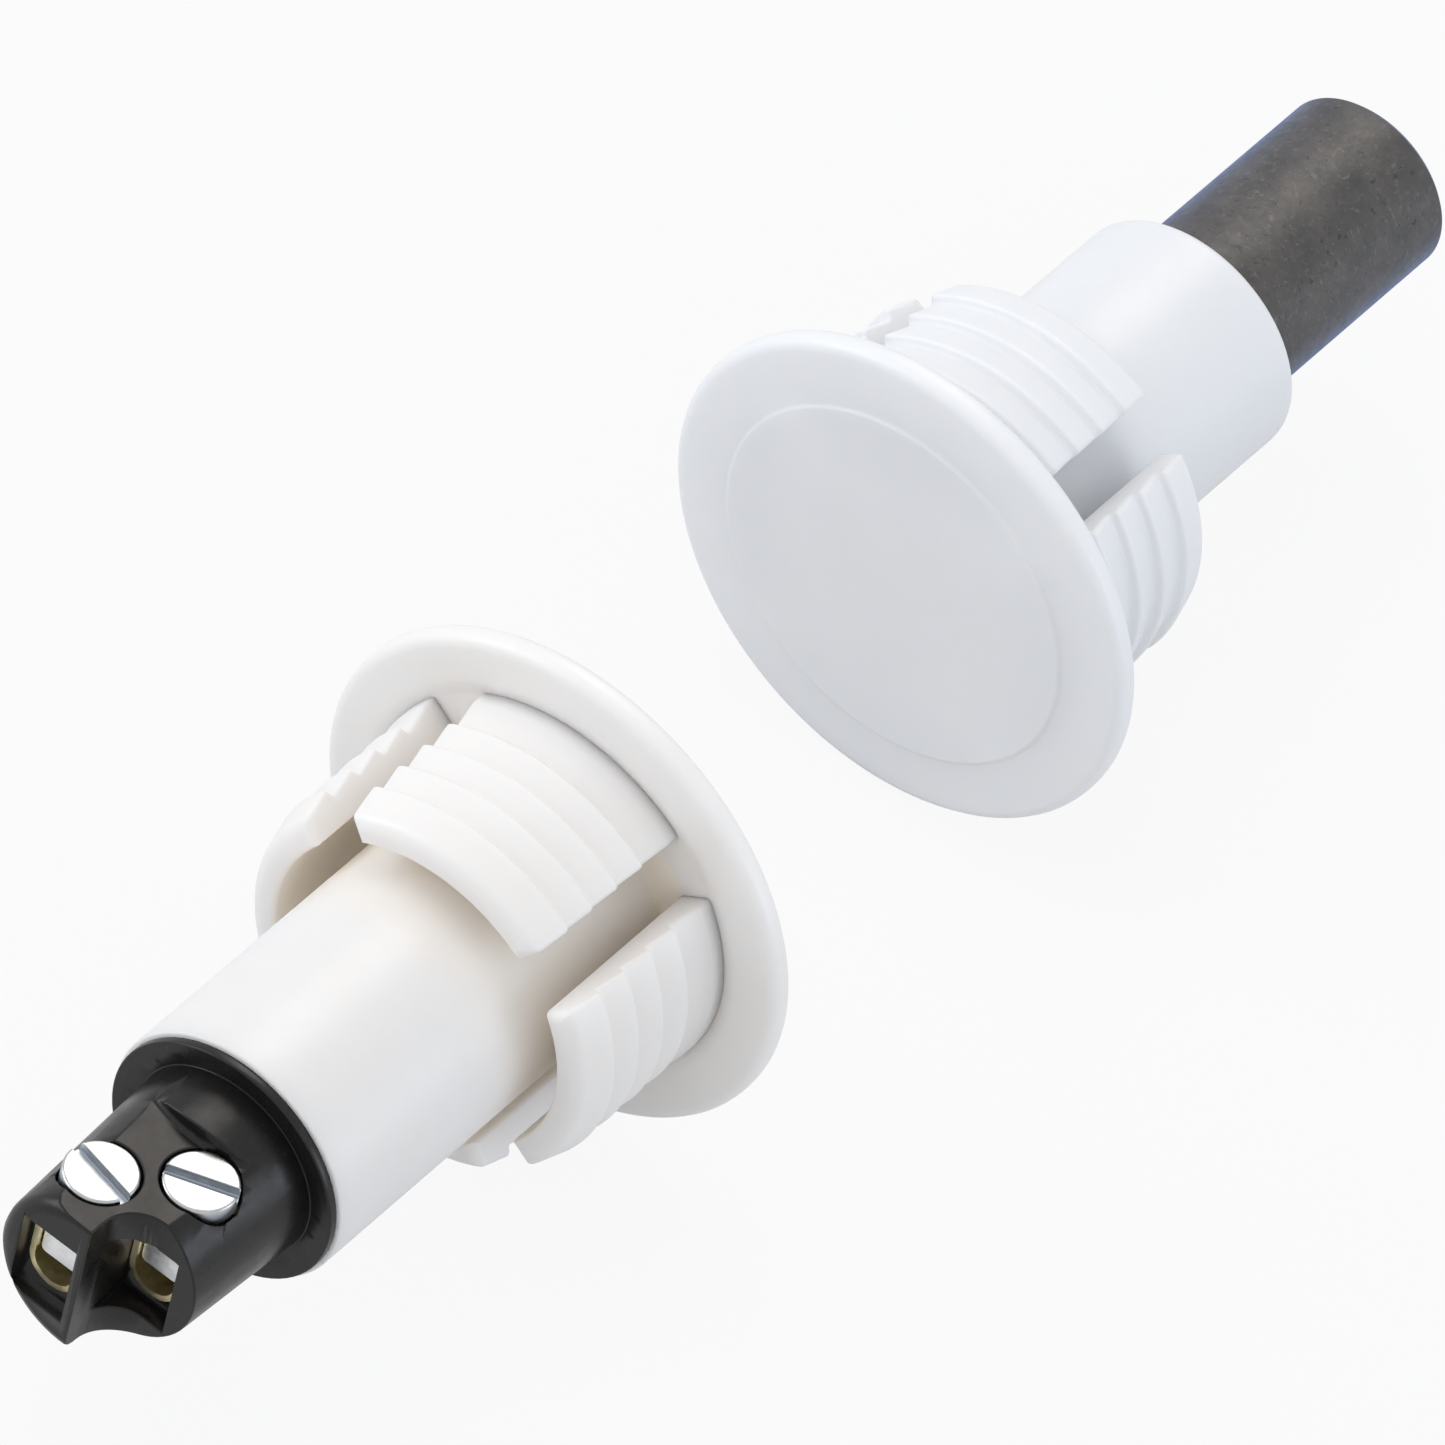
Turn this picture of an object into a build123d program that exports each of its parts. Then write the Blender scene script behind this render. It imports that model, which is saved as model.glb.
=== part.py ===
from build123d import *
import math
import os

# Recessed magnetic contact: a reed switch half for the door frame and a magnet half for the door edge.
# +Y is the common axis and points from the switch half to the magnet half.
# +Z is square to the flat of the terminal block, where the screws are turned. +X is across.
# The origin is on the axis, in the plane where the switch half's flange seats on the door frame.
# All sizes are millimetres.

# Housing sizes shared by both halves
flange_diameter = 25.4
flange_edge_thickness = 1.3
flange_edge_round = 0.55
flange_height = 1.65
flange_disc_diameter = 19.0
flange_disc_step = 0.12
flange_relief_diameter = 19.9
flange_relief_depth = 0.15

# Rounds that run all the way round a turned shape are drawn in this many chords
round_chords = 3

# Barbed wings that grip a drilled hole of 19 mm
wing_count = 4
wing_angle = 71.0
wing_inner_diameter = 15.8
wing_root_diameter = 18.3
barb_crest_diameter = 19.5
barb_count = 5
barb_pitch = 1.75
barb_first_crest = 0.55
barb_face_run = 0.12
wing_end_run = 0.25
wing_lead_in = 0.4
wing_corner_round = 0.6

# Switch half
switch_tube_diameter = 12.7
switch_bore_diameter = 10.4
front_wall = 1.2
air_gap = 23.2

# Magnet half
magnet_tube_diameter = 12.3
magnet_tube_length = 20.35
magnet_tube_end_round = 0.4
magnet_bore_diameter = 9.9
magnet_diameter = 9.1
magnet_length = 32.7
magnet_floor = 2.9
magnet_chamfer = 0.3
magnet_half_turn = 8.0
crush_rib_count = 6
crush_rib_width = 0.8
crush_rib_setback = 1.0
crush_rib_bite = 0.1
magnet_clearance = 0.02

# Terminal block
plug_length = 5.0
plug_bore_diameter = 8.2
plug_bore_depth = 4.0
plug_clearance = 0.05
collar_diameter = 12.3
collar_thickness = 0.5
dish_diameter = 11.4
dish_depth = 0.3
block_root_diameter = 9.6
block_end_diameter = 8.7
block_length = 10.1
block_edge_round = 0.7
flat_height = 3.85
flat_start = 2.05
flat_end_radius = 7.6
flat_cove_round = 0.3
right_end_setback = 2.8
setback_edge = 0.2
setback_corner_round = 1.9
divider_thickness = 0.5

# Terminals: a cage, a clamp plate and a screw on each side, the right one set back
terminal_spacing = 3.4
cage_recess = 0.9
cage_length = 4.2
cage_wall = 0.3
cage_clearance = 0.03
wire_way_width = 2.2
wire_way_center = -0.85
cage_ceiling = 1.1
cage_top = 2.0
mouth_width = 3.0
mouth_bottom = -2.7
tail_width = 1.2
tail_thickness = 0.4
tail_length = 6.5

# Clamp plates and screws
thread_diameter = 2.4
thread_clearance = 0.04
screw_head_diameter = 3.5
screw_head_thickness = 1.0
screw_head_chamfer = 0.12
screw_slot_width = 0.55
screw_slot_depth = 0.45
screw_head_proud = 0.05
left_slot_angle = -12.0
right_slot_angle = 22.0
head_hole_diameter = 3.75
plate_thickness = 1.3
plate_side_clearance = 0.08
plate_setback = 0.3
plate_bottom = -0.85
plate_corner_round = 0.3
swivel_diameter = 1.3
swivel_length = 0.4
swivel_clearance = 0.04

# Reed switch
glass_diameter = 2.7
glass_wall = 0.35
glass_length = 13.0
glass_front = 2.4
glass_rear_room = 7.2
glass_end_round = 0.75
glass_seal_length = 1.6
lead_diameter = 0.6
blade_width = 1.3
blade_thickness = 0.25
blade_overlap = 1.2
blade_gap = 0.1
blade_root = 0.3
front_lead_length = 1.0
rear_lead_length = 0.9
lead_bend = 0.5
tail_lap = 1.4

# Return wire, its sleeve, the joints and the carrier
return_wire_diameter = 0.5
return_sleeve_diameter = 1.0
return_offset = 2.9
return_bend = 0.45
return_turn_run = 1.0
return_past_glass = 0.2
sleeve_front = 2.6
sleeve_end_gap = 0.2
solder_diameter = 1.5
solder_length = 1.3
solder_chamfer = 0.3
solder_past_lap = 0.2
front_joint_diameter = 1.0
front_joint_length = 0.8
carrier_clearance = 0.1
carrier_front_gap = 0.2
carrier_post_length = 1.6
carrier_post_inset = 1.5
carrier_deck = -0.4
carrier_slot_clearance = 0.05

# Sizes that follow from the ones above
flange_radius = flange_diameter / 2
switch_tube_length = glass_front + glass_length + glass_rear_room
tube_end = -switch_tube_length
collar_face = tube_end - collar_thickness
block_end = collar_face - block_length
magnet_seat = 2 * flange_height + air_gap
terminal_x = terminal_spacing / 2
left_front = block_end + cage_recess
right_front = left_front + right_end_setback
screw_top = flat_height + screw_head_proud
plate_width = wire_way_width - 2 * plate_side_clearance
plate_top = plate_bottom + plate_thickness
tail_middle = (cage_ceiling + cage_top) / 2
tail_end = right_front + cage_length + tail_length
tail_underside = tail_middle - tail_thickness / 2
reed_front = -glass_front
reed_rear = reed_front - glass_length
reed_middle = (reed_front + reed_rear) / 2
reed_hollow_front = reed_front - glass_seal_length
reed_hollow_rear = reed_rear + glass_seal_length
front_lead_end = reed_front + front_lead_length
rear_lead_end = reed_rear - rear_lead_length
return_rear = reed_rear - return_past_glass
bore_floor = flange_height - front_wall
barbs_end = barb_first_crest + barb_count * barb_pitch
wing_length = barbs_end + wing_end_run


def revolved(points):
    """Turn a closed outline of (radius, height along Y) once round the Y axis."""
    return revolve(make_face(Polyline(*points, close=True)), Axis.Y)


def eased(points, rounds):
    """Outline or path with a round at each corner that has a radius: an arc, drawn in a few equal chords."""
    made = []
    for index, radius in enumerate(rounds):
        corner = Vector(*points[index])
        if radius == 0:
            made.append(corner)
            continue
        before = (Vector(*points[index - 1]) - corner).normalized()
        after = (Vector(*points[(index + 1) % len(points)]) - corner).normalized()
        half_angle = math.radians(before.get_angle(after)) / 2
        center = corner + (before + after).normalized() * (radius / math.sin(half_angle))
        start = corner + before * (radius / math.tan(half_angle)) - center
        end = corner + after * (radius / math.tan(half_angle)) - center
        sweep_angle = math.pi - 2 * half_angle
        for step in range(round_chords + 1):
            turned = sweep_angle * step / round_chords
            arm = start * math.sin(sweep_angle - turned) + end * math.sin(turned)
            made.append(center + arm / math.sin(sweep_angle))
    return made


def rod(radius, start, end, x=0.0, z=0.0):
    """Round bar along Y between two heights."""
    middle = Pos(x, (start + end) / 2, z)
    return middle * Rot(90, 0, 0) * Cylinder(radius, abs(end - start))


def slab(x_low, x_high, y_low, y_high, z_low, z_high):
    """Rectangular solid between two corners."""
    middle = Pos((x_low + x_high) / 2, (y_low + y_high) / 2, (z_low + z_high) / 2)
    return middle * Box(x_high - x_low, y_high - y_low, z_high - z_low)


def upright(radius, x, y, z_low, z_high):
    """Round bar along Z between two heights."""
    return Pos(x, y, (z_low + z_high) / 2) * Cylinder(radius, z_high - z_low)


def flange():
    """Flange with a rounded edge and a front that falls away outside a low flat disc."""
    disc_radius = flange_disc_diameter / 2
    step_height = flange_height - flange_disc_step
    outline = [
        (0, 0),
        (flange_radius, 0),
        (flange_radius, flange_edge_thickness),
        (disc_radius, step_height),
        (disc_radius - flange_disc_step, flange_height),
        (0, flange_height),
    ]
    return revolved(eased(outline, [0, flange_edge_round, flange_edge_round, 0, 0, 0]))


def barbed_wing():
    """One wing: saw-tooth barbs outside, a smooth inside and a rounded lead-in, turned through its angle."""
    inner = wing_inner_diameter / 2
    root = wing_root_diameter / 2
    crest = barb_crest_diameter / 2
    outline = [(inner, flange_relief_depth), (root, flange_relief_depth)]
    for index in range(barb_count):
        steep_face = -(barb_first_crest + index * barb_pitch)
        outline.append((root, steep_face + barb_face_run))
        outline.append((crest, steep_face))
    outline.append((root, -barbs_end))
    outline.append((root - wing_lead_in, -wing_length))
    outline.append((inner, -wing_length))
    section = make_face(Polyline(*outline, close=True))
    wing = revolve(section, Axis.Y, wing_angle)
    end_corners = wing.edges().group_by(Axis.Y)[0].filter_by(GeomType.LINE)
    return fillet(end_corners, wing_corner_round)


def housing(tube_diameter, tube_length, end_round):
    """Flange, tube and wings as one moulding with a solid tube, flange front towards +Y."""
    relief = rod(flange_relief_diameter / 2, 0, flange_relief_depth)
    tube_radius = tube_diameter / 2
    outline = [
        (0, flange_relief_depth),
        (0, -tube_length),
        (tube_radius, -tube_length),
        (tube_radius, flange_relief_depth),
    ]
    body = flange() - relief + revolved(eased(outline, [0, 0, end_round, 0]))
    wing = barbed_wing()
    turned = [
        Rot(0, index * 360 / wing_count - wing_angle / 2, 0) * wing
        for index in range(wing_count)
    ]
    return body + turned


def switch_shell():
    """White moulding of the switch half, bored from its open end to the front wall."""
    bore = rod(switch_bore_diameter / 2, tube_end - 1, bore_floor)
    return housing(switch_tube_diameter, switch_tube_length, 0) - bore


def turned_to_magnet_side(solid):
    """Turn a solid made like the switch half to face it across the air gap."""
    return Pos(0, magnet_seat, 0) * Rot(0, -magnet_half_turn, 0) * Rot(0, 0, 180) * solid


def magnet_shell():
    """White moulding of the magnet half, with crush ribs in its bore that hold the rod."""
    floor = flange_height - magnet_floor
    bore_radius = magnet_bore_diameter / 2
    half_width = crush_rib_width / 2
    rib_end = crush_rib_setback - magnet_tube_length
    bore = rod(bore_radius, -magnet_tube_length - 1, floor)
    rib = slab(-half_width, half_width, rib_end, floor, 0, bore_radius + crush_rib_bite)
    ribs = [Rot(0, index * 360 / crush_rib_count, 0) * rib for index in range(crush_rib_count)]
    ribs = Part() + ribs - rod(magnet_diameter / 2 + magnet_clearance, -magnet_tube_length, floor)
    body = housing(magnet_tube_diameter, magnet_tube_length, magnet_tube_end_round)
    return turned_to_magnet_side(body - bore + ribs)


def magnet_rod():
    """Sintered rod magnet with small chamfers, seated on the floor of its housing."""
    seat = flange_height - magnet_floor
    blank = rod(magnet_diameter / 2, seat - magnet_length, seat)
    blank = chamfer(blank.edges().filter_by(GeomType.CIRCLE), magnet_chamfer)
    return turned_to_magnet_side(blank)


def block_body():
    """Plug, collar and tapered block of the terminal end, before its pockets are cut."""
    plug_radius = switch_bore_diameter / 2 - plug_clearance
    collar_radius = collar_diameter / 2
    dish_radius = dish_diameter / 2
    root_radius = block_root_diameter / 2
    end_radius = block_end_diameter / 2
    outline = [
        (0, tube_end + plug_length),
        (plug_radius, tube_end + plug_length),
        (plug_radius, tube_end),
        (collar_radius, tube_end),
        (collar_radius, collar_face),
        (dish_radius, collar_face),
        (root_radius, collar_face + dish_depth),
        (end_radius, block_end),
        (0, block_end),
    ]
    solid = revolved(eased(outline, [0, 0, 0, 0, 0, 0, 0, block_edge_round, 0]))
    return solid - rod(plug_bore_diameter / 2, tube_end + plug_length - plug_bore_depth, 0)


def screw_flat():
    """Tool that cuts the flat for the screws. It ends in a bowed wall with a cove at its foot."""
    reach = block_root_diameter / 2
    half_width = math.sqrt(reach**2 - flat_height**2)
    bow = flat_end_radius - math.sqrt(flat_end_radius**2 - half_width**2)
    bow_center = collar_face - flat_start - bow + flat_end_radius
    tool = slab(-reach, reach, block_end - 1, collar_face, flat_height, reach + 1)
    tool = tool - upright(flat_end_radius, 0, bow_center, flat_height - 1, reach + 2)
    cove = tool.edges().filter_by(GeomType.CIRCLE).sort_by(Axis.Z)[0]
    return fillet(cove, flat_cove_round)


def right_setback():
    """Tool that sets the right half of the end face back, with a large round in its corner."""
    reach = collar_diameter / 2
    tool = slab(setback_edge, reach, block_end - 1, block_end + right_end_setback, -reach, reach)
    corner = tool.edges().filter_by(Axis.Z).group_by(Axis.Y)[-1].sort_by(Axis.X)[0]
    return fillet(corner, setback_corner_round)


def wire_way(width, front, back, top, x):
    """Upright slot with a round floor that runs along Y: a wire way, or the outside of a cage."""
    floor = rod(width / 2, front, back, x, wire_way_center)
    return floor + slab(x - width / 2, x + width / 2, front, back, wire_way_center, top)


def cage_outline(x, front, clearance):
    """Outside of a terminal cage, with an allowance all round."""
    width = wire_way_width + 2 * cage_wall + 2 * clearance
    return wire_way(width, front, front + cage_length + clearance, cage_top + clearance, x)


def tail_bar(x, front, clearance):
    """Solder tail that runs from the back of a cage into the tube, with an allowance all round."""
    half_width = tail_width / 2 + clearance
    half_height = tail_thickness / 2 + clearance
    start = front + cage_length
    return slab(
        x - half_width,
        x + half_width,
        start,
        tail_end,
        tail_middle - half_height,
        tail_middle + half_height,
    )


def terminal_pocket(x, front):
    """Everything that one terminal needs cut from the block: mouth, cage seat, tail slot and head hole."""
    side = math.copysign(1, x)
    inner = side * divider_thickness / 2
    outer = inner + side * mouth_width
    mouth = slab(min(inner, outer), max(inner, outer), block_end - 1, front, mouth_bottom, cage_top)
    seat = cage_outline(x, front - 1, cage_clearance)
    seat = seat + cage_outline(x, front, cage_clearance)
    screw_y = front + cage_length / 2
    hole = upright(head_hole_diameter / 2, x, screw_y, cage_top, collar_diameter / 2)
    return mouth + seat + tail_bar(x, front, cage_clearance) + hole


def terminal_block():
    """Black moulding that closes the tube and carries both terminals."""
    solid = block_body() - screw_flat() - right_setback()
    return solid - terminal_pocket(-terminal_x, left_front) - terminal_pocket(terminal_x, right_front)


def terminal_cage(x, front):
    """Brass cage: wire way with a round floor, thick threaded top and a solder tail."""
    outside = cage_outline(x, front, 0)
    way = wire_way(wire_way_width, front - 1, front + cage_length - cage_wall, cage_ceiling, x)
    thread = upright(thread_diameter / 2 + thread_clearance, x, front + cage_length / 2, 0, cage_top + 1)
    return outside - way + tail_bar(x, front, 0) - thread


def clamp_plate(x, front):
    """Plate that the screw presses on the wire, with a hole for the screw's swivel pin."""
    half_width = plate_width / 2
    low = front + plate_setback
    high = front + cage_length - cage_wall - plate_side_clearance
    plate = slab(x - half_width, x + half_width, low, high, plate_bottom, plate_top)
    lower_edges = plate.edges().filter_by(Axis.Y).group_by(Axis.Z)[0]
    plate = fillet(lower_edges, plate_corner_round)
    hole_radius = swivel_diameter / 2 + swivel_clearance
    return plate - upright(hole_radius, x, front + cage_length / 2, plate_top - swivel_length, plate_top + 1)


def terminal_screw(x, front, slot_angle):
    """Slotted screw with a plain head, a shank at the thread's size and a swivel pin in the clamp plate."""
    y = front + cage_length / 2
    head_bottom = screw_top - screw_head_thickness
    pin_end = plate_top - swivel_length + swivel_clearance
    head = upright(screw_head_diameter / 2, x, y, head_bottom, screw_top)
    head = chamfer(head.edges().filter_by(GeomType.CIRCLE).group_by(Axis.Z)[-1], screw_head_chamfer)
    shank = upright(thread_diameter / 2, x, y, plate_top + swivel_clearance, head_bottom)
    pin = upright(swivel_diameter / 2, x, y, pin_end, plate_top + swivel_clearance)
    slot = Box(screw_head_diameter + 1, screw_slot_width, 2 * screw_slot_depth)
    return head + shank + pin - Pos(x, y, screw_top) * Rot(0, 0, slot_angle) * slot


def capsule_hollow():
    """Space inside the glass capsule, between its two seals."""
    return rod(glass_diameter / 2 - glass_wall, reed_hollow_rear, reed_hollow_front)


def reed_glass():
    """Glass capsule, hollow in the middle and fused round the leads at both ends."""
    radius = glass_diameter / 2
    outline = [(0, reed_rear), (radius, reed_rear), (radius, reed_front), (0, reed_front)]
    envelope = revolved(eased(outline, [0, glass_end_round, glass_end_round, 0]))
    return envelope - capsule_hollow() - rod(lead_diameter / 2, reed_rear - 1, reed_front + 1)


def reed_blade(lead_end, seal_end, tip, height):
    """One reed: a round lead that is pressed flat into a blade inside the capsule."""
    outwards = math.copysign(1, lead_end - tip)
    root = seal_end + outwards * blade_root
    low = min(root, tip)
    high = max(root, tip)
    blade = slab(-blade_width / 2, blade_width / 2, low, high, height, height + blade_thickness)
    lead_channel = rod(lead_diameter / 2, reed_rear, reed_front)
    lead = rod(lead_diameter / 2, lead_end, seal_end)
    return lead + (blade & (capsule_hollow() + lead_channel))


def reed_blade_front():
    """Front reed, with its blade above the rear one's."""
    return reed_blade(front_lead_end, reed_hollow_front, reed_middle - blade_overlap / 2, blade_gap / 2)


def wire_along(points, radius, diameter):
    """Round wire along straight runs with a bend at each inner point."""
    bends = [0] + [radius] * (len(points) - 2) + [0]
    path = Polyline(*eased(points, bends))
    start = Plane(origin=path @ 0, z_dir=path % 0)
    return sweep(start * Circle(diameter / 2), path=path, transition=Transition.RIGHT)


def reed_blade_rear():
    """Rear reed, whose lead is bent across to lie under the left tail."""
    underside = -blade_gap / 2 - blade_thickness
    blade = reed_blade(rear_lead_end, reed_hollow_rear, reed_middle + blade_overlap / 2, underside)
    lap_height = tail_underside - lead_diameter / 2
    lead = wire_along(
        [
            (0, rear_lead_end, 0),
            (0, rear_lead_end - lead_bend, 0),
            (-terminal_x, tail_end + lead_bend, lap_height),
            (-terminal_x, tail_end - tail_lap, lap_height),
        ],
        lead_bend,
        lead_diameter,
    )
    return blade + lead


def return_wire():
    """Wire from the front lead back along the capsule to the right tail."""
    lap_height = tail_underside - return_wire_diameter / 2
    turn = front_lead_end + return_turn_run
    return wire_along(
        [
            (0, front_lead_end, 0),
            (0, turn, 0),
            (return_offset, turn, 0),
            (return_offset, return_rear, 0),
            (terminal_x, tail_end + lead_bend, lap_height),
            (terminal_x, tail_end - tail_lap, lap_height),
        ],
        return_bend,
        return_wire_diameter,
    )


def return_sleeve():
    """Insulating sleeve on the straight run of the return wire."""
    rear = return_rear + sleeve_end_gap
    outside = rod(return_sleeve_diameter / 2, rear, -sleeve_front, return_offset)
    return outside - rod(return_wire_diameter / 2, rear, -sleeve_front, return_offset)


def solder_joint(x, wire):
    """Bead of solder round the end of a tail and the wire that lies under it."""
    middle = tail_end - tail_lap / 2 - solder_past_lap
    bead = Pos(x, middle, tail_underside) * Rot(90, 0, 0) * Cylinder(solder_diameter / 2, solder_length)
    bead = chamfer(bead.edges().filter_by(GeomType.CIRCLE), solder_chamfer)
    return bead - wire - tail_bar(x, left_front, 0)


def solder_joint_front(wire):
    """Solder sleeve where the front lead meets the return wire."""
    half_length = front_joint_length / 2
    bead = rod(front_joint_diameter / 2, front_lead_end - half_length, front_lead_end + half_length)
    lead = rod(lead_diameter / 2, reed_front, front_lead_end)
    return bead - lead - wire


def reed_carrier():
    """Cradle for the capsule: a deck with two posts, grooved for the capsule, the leads and the sleeve."""
    radius = switch_bore_diameter / 2 - carrier_clearance
    front = bore_floor - carrier_front_gap
    rear = tube_end + plug_length
    low = rear - 1
    high = front + 1
    groove = glass_diameter / 2 + carrier_slot_clearance
    sleeve_groove = return_sleeve_diameter / 2 + carrier_slot_clearance
    above_deck = slab(-radius, radius, low, high, carrier_deck, radius)
    for post_front in (reed_front - carrier_post_inset, reed_rear + carrier_post_inset + carrier_post_length):
        post_rear = post_front - carrier_post_length
        above_deck = above_deck - slab(-radius, radius, post_rear, post_front, carrier_deck, groove)
    cradle = rod(radius, rear, front) - above_deck
    cradle = cradle - rod(groove, low, high) - slab(-groove, groove, low, high, 0, radius)
    sleeve_mouth = slab(return_offset - sleeve_groove, return_offset + sleeve_groove, low, high, 0, radius)
    return cradle - rod(sleeve_groove, low, high, return_offset) - sleeve_mouth


os.makedirs("parts", exist_ok=True)
wire = return_wire()
rear_blade = reed_blade_rear()
solids = {
    "switch_shell": switch_shell(),
    "terminal_block": terminal_block(),
    "reed_glass": reed_glass(),
    "reed_blade_front": reed_blade_front(),
    "reed_blade_rear": rear_blade,
    "reed_carrier": reed_carrier(),
    "return_wire": wire,
    "return_sleeve": return_sleeve(),
    "solder_joint_front": solder_joint_front(wire),
    "solder_joint_left": solder_joint(-terminal_x, rear_blade),
    "solder_joint_right": solder_joint(terminal_x, wire),
    "magnet_shell": magnet_shell(),
    "magnet_rod": magnet_rod(),
}
terminals = {
    "left": (-terminal_x, left_front, left_slot_angle),
    "right": (terminal_x, right_front, right_slot_angle),
}
for side, (x, front, slot_angle) in terminals.items():
    solids["terminal_cage_" + side] = terminal_cage(x, front)
    solids["clamp_plate_" + side] = clamp_plate(x, front)
    solids["terminal_screw_" + side] = terminal_screw(x, front, slot_angle)

for name, solid in solids.items():
    export_step(solid, "parts/" + name + ".step")
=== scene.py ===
import math

import bmesh
import bpy
import numpy as np
from mathutils import Matrix, Vector


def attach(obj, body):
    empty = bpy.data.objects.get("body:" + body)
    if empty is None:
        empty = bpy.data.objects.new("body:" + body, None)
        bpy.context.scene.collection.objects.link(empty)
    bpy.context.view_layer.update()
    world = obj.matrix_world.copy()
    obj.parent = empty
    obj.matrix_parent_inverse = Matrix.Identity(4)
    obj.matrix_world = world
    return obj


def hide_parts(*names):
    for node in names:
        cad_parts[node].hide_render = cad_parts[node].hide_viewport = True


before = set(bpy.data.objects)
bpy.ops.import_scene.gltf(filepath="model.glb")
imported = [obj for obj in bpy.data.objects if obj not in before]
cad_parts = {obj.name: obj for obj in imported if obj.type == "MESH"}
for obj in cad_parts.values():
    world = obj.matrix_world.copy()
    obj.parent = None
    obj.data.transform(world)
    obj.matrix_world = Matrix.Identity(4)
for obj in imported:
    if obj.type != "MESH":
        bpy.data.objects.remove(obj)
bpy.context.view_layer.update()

# Lengths in this file are millimetres until a mesh is made, which turns them into metres.
MM = 0.001

# Points closer than the first are one point, and lengths closer than the second are equal
SAME_POINT = 1e-4
SAME_LENGTH = 1e-6

# Rounds of outlines: the largest share of a side that a round may take, and how far outside the round, as a
# share of its reach, a point is set that keeps the flat beside it flat
ROUND_SHARE = 0.48
FLAT_GUARD = 0.04

# Housing
FLANGE_RADIUS = 12.7
FLANGE_EDGE = 1.3
FLANGE_HEIGHT = 1.65
FLANGE_ROUND = 0.55
DISC_RADIUS = 9.5
DISC_STEP = 0.12
RELIEF_RADIUS = 9.95
RELIEF_DEPTH = 0.15
RELIEF_SLOPE_IN = 0.3
RELIEF_SLOPE_OUT = 0.4
RELIEF_ROUND = 1.5
DISC_ROUND = 0.2
BORE_FLOOR_ROUND = 0.2
BORE_MOUTH_ROUND = 0.12
TUBE_FOOT_ROUND = 0.25
WING_COUNT = 4
WING_ANGLE = 71.0
WING_INNER = 7.9
WING_ROOT = 9.27
BARB_CREST = 9.75
BARB_COUNT = 5
BARB_PITCH = 1.75
BARB_FIRST = 0.55
BARB_FACE = 0.12
WING_LENGTH = 9.55
WING_LEAD_IN = 0.5
WING_SUNK = 0.3
WING_CORNER = 0.6
WING_EDGE = 0.24
WING_END_ROUNDS = (0.6, 0.75)
WING_STEPS = 28
EDGE_STEPS = 7
CORNER_STEPS = 9
CORNER_START = 0.8
BARB_ROUND = 0.16
BARB_FOOT_ROUND = 0.3

# Switch half
SWITCH_TUBE = 6.35
SWITCH_LENGTH = 22.6
SWITCH_BORE = 5.2
SWITCH_FLOOR = 0.45
SWITCH_END_ROUND = 0.1

# Magnet half
MAGNET_TUBE = 6.15
MAGNET_LENGTH = 20.35
MAGNET_BORE = 4.95
MAGNET_FLOOR = -1.25
MAGNET_RADIUS = 4.55
MAGNET_ROD = 32.7
MAGNET_CHAMFER = 0.3
MAGNET_SEAT = 26.5
MAGNET_TURN = 8.0
MAGNET_END_ROUND = 0.4
RIB_COUNT = 6
RIB_WIDTH = 0.8
RIB_SETBACK = 1.0
RIB_PLAY = 0.02
ROD_EDGE_ROUND = 0.08

# Terminal block
BLOCK_END = -33.2
RIGHT_SETBACK = 2.8

# Rounds on the block's edges: their size, how close two points are when they count as one, and the length
# under which edges are too crowded for a round
BLOCK_EDGE = 0.09
BLOCK_MERGE = 0.01
CROWDED_EDGE = 0.15

# Angles up to which two faces are one flat, from which an edge is rounded, and from which it is shaded sharp
FLAT_ANGLE = math.radians(1)
SHARP_ANGLE = math.radians(32)
CREASE_ANGLE = math.radians(35)
LARGE_FACES_WEIGHT = 60

# Space inside the wire mouths, where edges stay as they are
MOUTH_INNER = 0.2
MOUTH_OUTER = 3.3
MOUTH_LOW = -2.75
MOUTH_HIGH = 2.1
MOUTH_MARGIN = 0.05

# Terminal screws
SCREW_TOP = 3.9
HEAD_RADIUS = 1.75
HEAD_BOTTOM = 2.9
HEAD_EDGE = 0.14
HEAD_FOOT = 0.08
HEAD_FOOT_SHARE = 0.95
HEAD_FIELD_SHARE = 0.93
HEAD_FIELD_STEPS = 14
HEAD_RIM_START = 1.2
HEAD_RIM_STEPS = 10
CHORD_STEPS = 49
SLOT_WIDTH = 0.55
SLOT_DEPTH = 0.45
SLOT_WALL = 0.08
SLOT_WALL_POINTS = (-0.04, -0.03, 0.0, 0.02, 0.04, 0.05)
SLOT_SHADE_START = 0.1
SLOT_SHADE_END = 0.42
THREAD_RADIUS = 1.2
THREAD_PITCH = 0.45
THREAD_DEPTH = 0.24
THREAD_FLANK = 2.6
THREAD_CREST = 0.2
THREAD_FADE_LOW = 0.25
THREAD_FADE_HIGH = 0.3
SHANK_BOTTOM = 0.49
SHANK_SUNK = 0.02
SHANK_RINGS = 92
SHANK_STEPS = 64
PIN_RADIUS = 0.65
PIN_BOTTOM = 0.09
PIN_CHAMFER = 0.06

# Axis of each screw (x, y) and the angle of its slot in degrees
SCREWS = {"left": (-1.7, -30.2, -12.0), "right": (1.7, -27.4, 22.0)}


# Meshes

def patch(points, around=False, along=False):
    """Faces of a grid of points: each cell of rows i, i+1 and columns j, j+1 is one quad.
    The columns join up when around is set, and the rows when along is set."""
    rows, columns = points.shape[:2]
    i = np.arange(rows if along else rows - 1)[:, None]
    j = np.arange(columns if around else columns - 1)[None, :]
    below, right = (i + 1) % rows, (j + 1) % columns
    corners = [i * columns + j, i * columns + right, below * columns + right, below * columns + j]
    return points.reshape(-1, 3), np.stack(corners, -1).reshape(-1, 4)


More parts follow.
